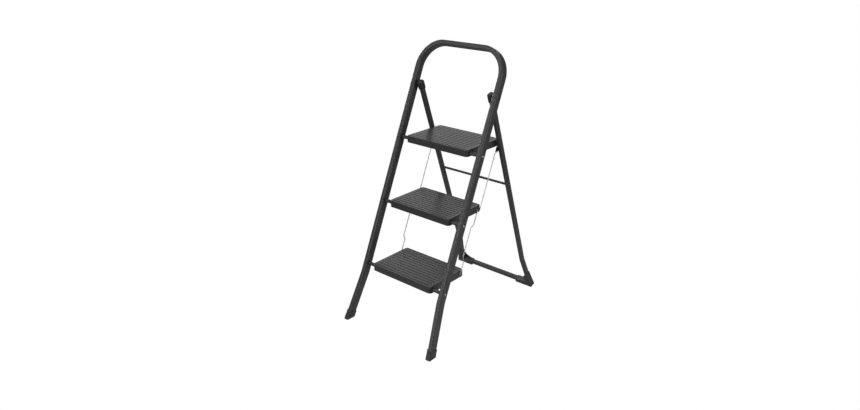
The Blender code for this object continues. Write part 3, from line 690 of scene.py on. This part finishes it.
def rear_bars():
    end = leg_x(0) - BASE_BAR_INSET
    path = [rear_point(-end, BASE_BAR_T), rear_point(end, BASE_BAR_T)]
    mesh = tube("base_bar", path, BASE_BAR_HEIGHT, LEG_DEPTH, LEG_CORNER, REAR_NORMAL)
    stand_for("rear_base_bar", mesh)

    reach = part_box("rear_crossbar")[1].x
    dome = [(reach - depth, share * CROSSBAR_RADIUS) for depth, share in CROSSBAR_DOME]
    profile = [(-x, r) for x, r in dome] + dome[::-1]
    stand_for("rear_crossbar", turned("crossbar", CROSSBAR, profile))


def elbow(side_name, side):
    """Moulded corner piece round the leg and the base bar; the left one carries a web, a dark piece that
    stands in for the shade in its inner corner.
    """
    low = SOLE_RISE
    bar_top = BASE_BAR_T + BASE_BAR_HEIGHT / 2 + GAP + ELBOW_BAR_WALL
    outer = leg_x(ELBOW_OUTER_TOP)
    corners = (
        (ELBOW_BAR_END, low),
        (leg_x(low) + ELBOW_SOLE_WALL, low),
        (outer + ELBOW_OUTER_WALL - 0.0005, ELBOW_OUTER_TOP - ELBOW_SHOULDER),
        (outer + ELBOW_OUTER_WALL - 0.0014, ELBOW_OUTER_TOP),
        (leg_x(ELBOW_INNER_TOP) - ELBOW_INNER_WALL, ELBOW_INNER_TOP),
        (leg_x(bar_top) - ELBOW_INNER_WALL, bar_top),
        (ELBOW_BAR_END, bar_top),
    )
    radii = (0.0, ELBOW_TOE_RADIUS, ELBOW_SHOULDER_RADIUS, 0.0, 0.0, ELBOW_CROOK_RADIUS, 0.0)
    outline = [(side * p.x, p.y) for p in rounded_outline([Vector(c) for c in corners], radii)]
    mesh = prism("elbow", outline, rear_point, ELBOW_FRONT, ELBOW_REAR)
    made = stand_for(f"rear_elbow_{side_name}", mesh)
    bevel(made, ELBOW_EDGE)

    floor = [(-0.3, REAR_Y - 0.1), (0.3, REAR_Y - 0.1), (0.3, REAR_Y + 0.1), (-0.3, REAR_Y + 0.1)]
    cuts = [prism("floor_cut", floor, lambda a, b, n: Vector((a, b, n)), -0.05, 0.0)]
    boolean(made, cuts, "DIFFERENCE")

    # a dark web on the left elbow only, standing in for the shade in its inner corner
    if side < 0:
        rise = SHADE_WEB_TOP - bar_top
        reach = leg_x(ELBOW_INNER_TOP) - ELBOW_INNER_WALL - ELBOW_BAR_END
        web = []
        for step in range(17):
            angle = math.radians(90 * step / 16)
            x = ELBOW_BAR_END + 0.001 + reach * math.sin(angle)
            web.append((x, bar_top + rise * (1 - math.cos(angle))))
        web.append((leg_x(bar_top) - 0.004, bar_top - 0.002))
        web.append((ELBOW_BAR_END + 0.001, bar_top - 0.002))
        mesh = prism("web", [(side * x, t) for x, t in web], rear_point, *SHADE_WEB_FACES)
        boolean(made, [mesh], "UNION")

    bore = rounded_rect(BASE_BAR_HEIGHT + 2 * GAP, LEG_DEPTH + 2 * GAP, LEG_CORNER + GAP)
    deep = leg_x(0) - BASE_BAR_INSET + GAP
    path = [rear_point(side * 0.10, BASE_BAR_T), rear_point(side * deep, BASE_BAR_T)]
    cuts = [loft("bar_pocket", sweep(path, bore, REAR_NORMAL))]
    bore = rounded_rect(LEG_WIDTH + 2 * GAP, LEG_DEPTH + 2 * GAP, LEG_CORNER + GAP)
    seat = SOLE_RISE + LEG_SEAT
    path = [rear_point(side * leg_x(seat), seat), rear_point(side * leg_x(0.12), 0.12)]
    cuts.append(loft("leg_pocket", sweep(path, bore, REAR_NORMAL)))
    boolean(made, cuts, "DIFFERENCE")
    smooth(made)


def cap(side_name, side):
    """Closed sleeve over the leg's top end, with a domed crown."""
    def section(grow, corner):
        return rounded_rect(LEG_WIDTH + 2 * grow, LEG_DEPTH + 2 * grow, corner)

    def ring(outline, t):
        return [rear_point(side * LEG_HALF_SPACING + u, t, v) for u, v in outline]

    wall = GAP + CAP_WALL
    corner = LEG_CORNER + 0.0010
    top = PIVOT_T + CAP_ABOVE
    rings = []
    for angle in (85, 70, 50, 30, 12, 0):
        turn = math.radians(angle)
        inset = CAP_CROWN * (1 - math.cos(turn))
        drop = CAP_CROWN * (1 - math.sin(turn))
        rings.append(ring(section(wall - inset, corner - 0.5 * inset), top - drop))
    low = PIVOT_T - CAP_BELOW
    rings += [ring(section(wall, corner), low + 0.0060), ring(section(wall - 0.0010, corner), low + 0.0004)]
    rings += [ring(section(wall - 0.0013, corner), low), ring(section(GAP, LEG_CORNER + GAP), low)]
    rings += [ring(section(GAP, LEG_CORNER + GAP), top - CAP_WALL)]
    stand_for(f"rear_cap_{side_name}", loft("cap", rings))


def pivot(side_name, side):
    """Spacer, bolt and nut that hang a rear leg on its rail."""
    cap_outer = LEG_HALF_SPACING + LEG_WIDTH / 2 + GAP + CAP_WALL
    cap_inner = LEG_HALF_SPACING - LEG_WIDTH / 2 - GAP - CAP_WALL
    rail_inner = RAIL_HALF_SPACING - RAIL_WIDTH / 2
    head = RAIL_HALF_SPACING + RAIL_WIDTH / 2 + GAP
    first = cap_outer + GAP
    last = rail_inner - GAP
    bore = BOLT_RADIUS + GAP
    profile = [
        (first, BOSS_RADIUS - EDGE_BREAK),
        (first + EDGE_BREAK, BOSS_RADIUS),
        (last - EDGE_BREAK, BOSS_RADIUS),
        (last, BOSS_RADIUS - EDGE_BREAK),
        (last, bore),
        (first, bore),
    ]
    profile = [(side * x, r) for x, r in profile]
    stand_for(f"pivot_spacer_{side_name}", turned("spacer", PIVOT, profile, closed=True))

    tip = cap_inner - NUT_HEIGHT - 0.0011
    profile = [(tip, BOLT_RADIUS - 0.0004), (tip + 0.0004, BOLT_RADIUS), (head, BOLT_RADIUS)]
    profile += dome_profile(head, BOLT_HEAD_RADIUS, BOLT_HEAD_HEIGHT)
    profile = [(side * x, r) for x, r in profile]
    stand_for(f"pivot_bolt_{side_name}", turned("bolt", PIVOT, profile))

    stand_for(f"pivot_nut_{side_name}", hex_nut(side, cap_inner - GAP, bore))


def hex_nut(side, face, bore):
    """A nut on the pivot line, seated on the face and crowned towards the ladder's middle."""
    stations = (
        (0.0, bore),
        (0.0, 0.9 * NUT_RADIUS),
        (0.0004, NUT_RADIUS),
        (NUT_HEIGHT - 0.0008, NUT_RADIUS),
        (NUT_HEIGHT - 0.0002, 0.86 * NUT_RADIUS),
        (NUT_HEIGHT, 0.70 * NUT_RADIUS),
        (NUT_HEIGHT, bore),
    )
    half_facet = math.pi / 6
    count = 48
    rings = []
    for distance, radius in stations:
        x = side * (face - distance)
        ring = []
        for i in range(count):
            angle = 2 * math.pi * i / count
            facet = (angle + half_facet) % (2 * half_facet) - half_facet
            flat = NUT_RADIUS * math.cos(half_facet) / math.cos(facet)
            reach = min(radius, flat) if radius > bore else radius
            y = PIVOT.y + reach * math.cos(angle)
            ring.append(Vector((x, y, PIVOT.z + reach * math.sin(angle))))
        rings.append(ring)
    return loft("nut", rings, closed=True)


def dome_profile(face, radius, height, steps=7):
    """Head of a rivet or bolt: a short rim and a shallow dome."""
    rim = 0.0002
    profile = [(face, radius - rim), (face + rim, radius)]
    for step in range(1, steps + 1):
        angle = math.radians(88 * step / steps)
        x = face + rim + (height - rim) * math.sin(angle)
        profile.append((x, radius * math.cos(angle)))
    return profile


def stud(side_name, side):
    """Pin on the leg's inner face that carries the top step's hook."""
    low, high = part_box(f"support_stud_{side_name}")
    centre = (low + high) / 2
    tip = min(abs(low.x), abs(high.x))
    seat = max(abs(low.x), abs(high.x))
    profile = [(seat, STUD_RADIUS), (tip + EDGE_BREAK, STUD_RADIUS), (tip, STUD_RADIUS - EDGE_BREAK)]
    mesh = turned("stud", centre, [(side * x, r) for x, r in profile], 32)
    stand_for(f"support_stud_{side_name}", mesh)


# ---------------------------------------------------------------- steps
def tread(level):
    """Pressed sheet pan: rolled edge, plain rim, and a field of ribs parted by soft grooves."""
    name = STEP_NAMES[level]
    low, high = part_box(f"{name}_tread")
    half = high.x
    middle = (low.y + high.y) / 2
    reach = (high.y - low.y) / 2
    field_x = half - TREAD_RIM
    field_y = reach - TREAD_LIP
    first = -reach + FIRST_GROOVE
    pitch = 2 * (reach - FIRST_GROOVE) / (GROOVE_COUNT - 1)

    def groove(y):
        """Depth of the groove pattern at a distance y from the tread's middle."""
        k = (y - first) / pitch
        off = abs(k - round(k)) * pitch
        if off > GROOVE_WIDTH / 2:
            return 0.0
        return 0.5 * GROOVE_DEPTH * (1 + math.cos(2 * math.pi * off / GROOVE_WIDTH))

    def runout(x):
        """Share of a groove's depth at a distance x from the middle; it fades at its ends."""
        k = (field_x - abs(x)) / GROOVE_END
        return 1.0 if k >= 1 else 0.5 * (1 - math.cos(math.pi * max(0.0, k)))

    ys = [-field_y]
    for index in range(GROOVE_COUNT):
        centre = first + index * pitch
        ys += [centre + GROOVE_WIDTH * (step / 8 - 0.5) for step in range(9)]
    ys.append(field_y)
    ends = [field_x - GROOVE_END * step / 6 for step in range(7)]
    xs = [-x for x in ends] + [-field_x / 3, field_x / 3] + ends[::-1]

    def ring(inset_x, inset_y, drop):
        """One loop round the tread; its straight runs keep the field's grid lines."""
        radius = TREAD_PLAN_RADIUS * (1 - inset_x / TREAD_RIM)
        edge_x = half - inset_x
        edge_y = reach - inset_y
        straight_x = edge_x - radius
        straight_y = edge_y - radius
        points = [(edge_x, max(-straight_y, min(straight_y, y))) for y in ys[1:-1]]
        points += corner_arc(edge_x, edge_y, radius, 0)
        points += [(max(-straight_x, min(straight_x, x)), edge_y) for x in reversed(xs[1:-1])]
        points += corner_arc(-edge_x, edge_y, radius, 90)
        points += [(-edge_x, max(-straight_y, min(straight_y, y))) for y in reversed(ys[1:-1])]
        points += corner_arc(-edge_x, -edge_y, radius, 180)
        points += [(max(-straight_x, min(straight_x, x)), -edge_y) for x in xs[1:-1]]
        points += corner_arc(edge_x, -edge_y, radius, 270)
        return [Vector((x, middle + y, high.z - drop)) for x, y in points]

    def corner_arc(edge_x, edge_y, radius, start):
        points = []
        for step in range(9):
            angle = math.radians(start + 90 * step / 8)
            x = edge_x - math.copysign(radius, edge_x) + radius * math.cos(angle)
            y = edge_y - math.copysign(radius, edge_y) + radius * math.sin(angle)
            points.append((x, y))
        return points

    rings = [ring(0.0, 0.0, high.z - low.z)]
    for step in range(7):
        angle = math.radians(90 * step / 6)
        inset = TREAD_EDGE_RADIUS * (1 - math.cos(angle))
        rings.append(ring(inset, inset, TREAD_EDGE_RADIUS * (1 - math.sin(angle))))
    halfway_x = 0.5 * (TREAD_EDGE_RADIUS + TREAD_RIM)
    halfway_y = 0.5 * (TREAD_EDGE_RADIUS + TREAD_LIP)
    rings.append(ring(halfway_x, halfway_y, 0.0))
    rings.append(ring(TREAD_RIM, TREAD_LIP, 0.0))

    shape = bmesh.new()
    loops = [[shape.verts.new(point) for point in loop] for loop in rings]
    count = len(loops[0])
    for outer, inner in zip(loops, loops[1:]):
        for i in range(count):
            j = (i + 1) % count
            shape.faces.new((outer[i], outer[j], inner[j], inner[i]))
    grid = []
    for x in xs:
        column = [shape.verts.new((x, middle + y, high.z - groove(y) * runout(x))) for y in ys]
        grid.append(column)
    for first, second in zip(grid, grid[1:]):
        for j in range(len(ys) - 1):
            shape.faces.new((first[j], second[j], second[j + 1], first[j + 1]))
    bmesh.ops.remove_doubles(shape, verts=shape.verts, dist=1e-6)
    made = stand_for(f"{name}_tread", to_mesh("pan", shape))

    if made.data.polygons[-1].normal.z < 0:
        made.data.flip_normals()
    sheet = made.modifiers.new("sheet", "SOLIDIFY")
    sheet.thickness = TREAD_SHEET
    sheet.offset = -1
    sheet.use_even_offset = True
    bpy.context.view_layer.update()
    apply_all(made)

    def bore(centre, radius, count):
        return turned("bore", centre, ((-CUT_REACH, radius + GAP), (CUT_REACH, radius + GAP)), count)

    cuts = [bore(STEP_AXES[level], PIVOT_TUBE_RADIUS, 48)]
    cuts += [bore(eye, LINK_RADIUS, 24) for eye in wire_eyes(level)]
    boolean(made, cuts, "DIFFERENCE")
    smooth(made)


def wire_eyes(level):
    """Where the wires' pins pass through a tread's skirts."""
    lower = JOINT_AT["lower_wire_left_swing"] + STEP_AXES[level] - STEP_AXES[1]
    upper = JOINT_AT["upper_wire_left_swing"] + STEP_AXES[level] - STEP_AXES[2]
    return ((lower,), (lower, upper), (upper,))[level]


def step_hardware(level):
    """Pivot tube, bushes and rivets of a step."""
    name = STEP_NAMES[level]
    axis = STEP_AXES[level]
    rail_inner = RAIL_HALF_SPACING - RAIL_WIDTH / 2
    head = RAIL_HALF_SPACING + RAIL_WIDTH / 2 + GAP
    flange = rail_inner - GAP - BUSH_FLANGE
    end = flange - GAP
    half = [
        (end, PIVOT_TUBE_BORE),
        (end, PIVOT_TUBE_RADIUS - 0.0003),
        (end - 0.0003, PIVOT_TUBE_RADIUS),
    ]
    profile = [(-x, r) for x, r in half] + half[::-1]
    stand_for(f"{name}_pivot_tube", turned("pivot_tube", axis, profile, 56, closed=True))

    barrel = PIVOT_TUBE_BORE - GAP
    bush = (
        (flange - BUSH_LENGTH, barrel - 0.0004),
        (flange - BUSH_LENGTH + 0.0006, barrel),
        (flange, barrel),
        (flange, PIVOT_TUBE_RADIUS - 0.0002),
        (flange + 0.0002, PIVOT_TUBE_RADIUS),
        (rail_inner - GAP, PIVOT_TUBE_RADIUS),
        (rail_inner - GAP, BOLT_RADIUS + GAP),
        (flange - BUSH_LENGTH, BOLT_RADIUS + GAP),
    )
    rivet = [
        (flange - BUSH_LENGTH - 0.0015, BOLT_RADIUS - 0.0003),
        (flange - BUSH_LENGTH - 0.0012, BOLT_RADIUS),
        (head, BOLT_RADIUS),
        (head, RIVET_HEAD_RADIUS - 0.0002),
        (head + 0.0004, RIVET_HEAD_RADIUS),
        (head + 0.0007, RIVET_HEAD_RADIUS - 0.0005),
        (head + 0.0003, 0.70 * RIVET_HEAD_RADIUS),
    ]
    rivet += dome_profile(head + 0.0003, 0.62 * RIVET_HEAD_RADIUS, RIVET_DOME_HEIGHT)
    for side_name, side in SIDES:
        mesh = turned("bush", axis, [(side * x, r) for x, r in bush], closed=True)
        stand_for(f"{name}_bush_{side_name}", mesh)
        mesh = turned("rivet", axis, [(side * x, r) for x, r in rivet])
        stand_for(f"{name}_rivet_{side_name}", mesh)


def stiffener(level):
    """Folded channel under the tread, with rounded bends."""
    low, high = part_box(f"{STEP_NAMES[level]}_stiffener")
    sheet = TREAD_SHEET
    corners = (
        (low.y, low.z),
        (low.y, high.z),
        (high.y, high.z),
        (high.y, low.z),
        (high.y - sheet, low.z),
        (high.y - sheet, high.z - sheet),
        (low.y + sheet, high.z - sheet),
        (low.y + sheet, low.z),
    )
    radii = (0.0004, 0.0020, 0.0020, 0.0004, 0.0004, 0.0010, 0.0010, 0.0004)
    outline = rounded_outline([Vector(c) for c in corners], radii)
    mesh = prism("channel", outline, lambda a, b, n: Vector((n, a, b)), low.x, high.x)
    stand_for(f"{STEP_NAMES[level]}_stiffener", mesh)


def step_hook(side_name, side):
    """Bent strip under the top tread; its plate hooks over the stud on the leg."""
    axis = STEP_AXES[2]
    tread_low, tread_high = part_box("top_tread")
    low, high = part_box(f"support_stud_{side_name}")
    stud_at = (low + high) / 2
    under = tread_high.z - TREAD_SHEET - GAP
    top = tread_low.z - GAP
    near = axis.y + HOOK_SETBACK
    far = tread_high.y - TREAD_SHEET - 0.0020
    outer = HOOK_INNER_FACE + HOOK_PLATE
    strip = (
        (HOOK_FOOT, top - HOOK_PLATE),
        (outer - 0.0005, top - HOOK_PLATE),
        (outer - 0.0005, top),
        (HOOK_FOOT + HOOK_PLATE, top),
        (HOOK_FOOT + HOOK_PLATE, under),
        (HOOK_FOOT, under),
    )
    radii = (HOOK_BEND, 0, 0, 0.0006, 0.0004, 0.0004)
    outline = [(side * p.x, p.y) for p in rounded_outline([Vector(c) for c in strip], radii)]
    mesh = prism("hook", outline, lambda a, b, n: Vector((a, n, b)), near, far)
    made = stand_for(f"step_hook_{side_name}", mesh)

    notch = STUD_RADIUS + GAP
    nose = stud_at.y - HOOK_NOSE
    tail = stud_at.z - HOOK_TAIL
    plate = [(far, top), (far, tail + 0.0020), (far - 0.0030, tail)]
    plate.append((stud_at.y + notch + 0.0008, tail + 0.0045))
    for step in range(21):
        angle = math.radians(HOOK_NOTCH_FROM + HOOK_NOTCH_TURN * step / 20)
        plate.append((stud_at.y + notch * math.cos(angle), stud_at.z + notch * math.sin(angle)))
    plate.append((nose + 0.0015, stud_at.z - HOOK_NOSE_DROP))
    plate.append((nose, stud_at.z - HOOK_NOSE_DROP + 0.0020))
    plate.append((nose, top))
    ends = (side * HOOK_INNER_FACE, side * outer)
    boolean(made, [prism("hook_plate", plate, lambda a, b, n: Vector((n, a, b)), *ends)], "UNION")
    bevel(made, 0.0003, 2)
    smooth(made)


# ---------------------------------------------------------------- wires
def link_wire(link, side_name, side, top_level):
    """Stiff wire between two treads; the lower one is bent forward in the middle."""
    top = JOINT_AT[f"{link}_wire_{side_name}_swing"]
    low = top + STEP_AXES[top_level - 1] - STEP_AXES[top_level]
    up = (top - low).normalized()
    forward = Vector((0, -up.z, up.y))
    line = Vector((side * LINK_SIDE, 0, 0))
    pin = Vector((side * LINK_END, 0, 0))
    foot = Vector((0, low.y, low.z))
    head = Vector((0, top.y, top.z))
    points = [pin + foot, line + foot]
    radii = [LINK_BEND]
    if link == "lower":
        out = (0.0, LOWER_LINK_JOG, LOWER_LINK_JOG, 0.0)
        for along, offset in zip(LOWER_LINK_JOG_SPAN, out):
            points.append(line + foot + up * along + forward * offset)
            radii.append(LOWER_LINK_JOG_BEND)
    points += [line + head, pin + head]
    radii.append(LINK_BEND)
    path = rounded_path(points, radii, 8)
    mesh = loft("wire", sweep(path, circle(LINK_RADIUS, 16), forward))
    stand_for(f"{link}_link_{side_name}", mesh)
    for place, eye in (("top", head), ("low", foot)):
        clip_low, clip_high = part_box(f"{link}_clip_{place}_{side_name}")
        first, last = sorted((abs(clip_low.x), abs(clip_high.x)))
        profile = (
            (first, CLIP_RADIUS - CLIP_CHAMFER),
            (first + CLIP_CHAMFER, CLIP_RADIUS),
            (last - CLIP_CHAMFER, CLIP_RADIUS),
            (last, CLIP_RADIUS - CLIP_CHAMFER),
            (last, LINK_RADIUS + GAP),
            (first, LINK_RADIUS + GAP),
        )
        mesh = turned("clip", eye, [(side * x, r) for x, r in profile], 36, closed=True)
        stand_for(f"{link}_clip_{place}_{side_name}", mesh)


# ---------------------------------------------------------------- assembly
camera()
studio()
handrail()
rear_bars()
for side_name, side in SIDES:
    boot(side_name, side)
    rear_leg(side_name, side)
    elbow(side_name, side)
    cap(side_name, side)
    pivot(side_name, side)
    stud(side_name, side)
    step_hook(side_name, side)
    link_wire("upper", side_name, side, 2)
    link_wire("lower", side_name, side, 1)
for level in range(3):
    tread(level)
    step_hardware(level)
    stiffener(level)
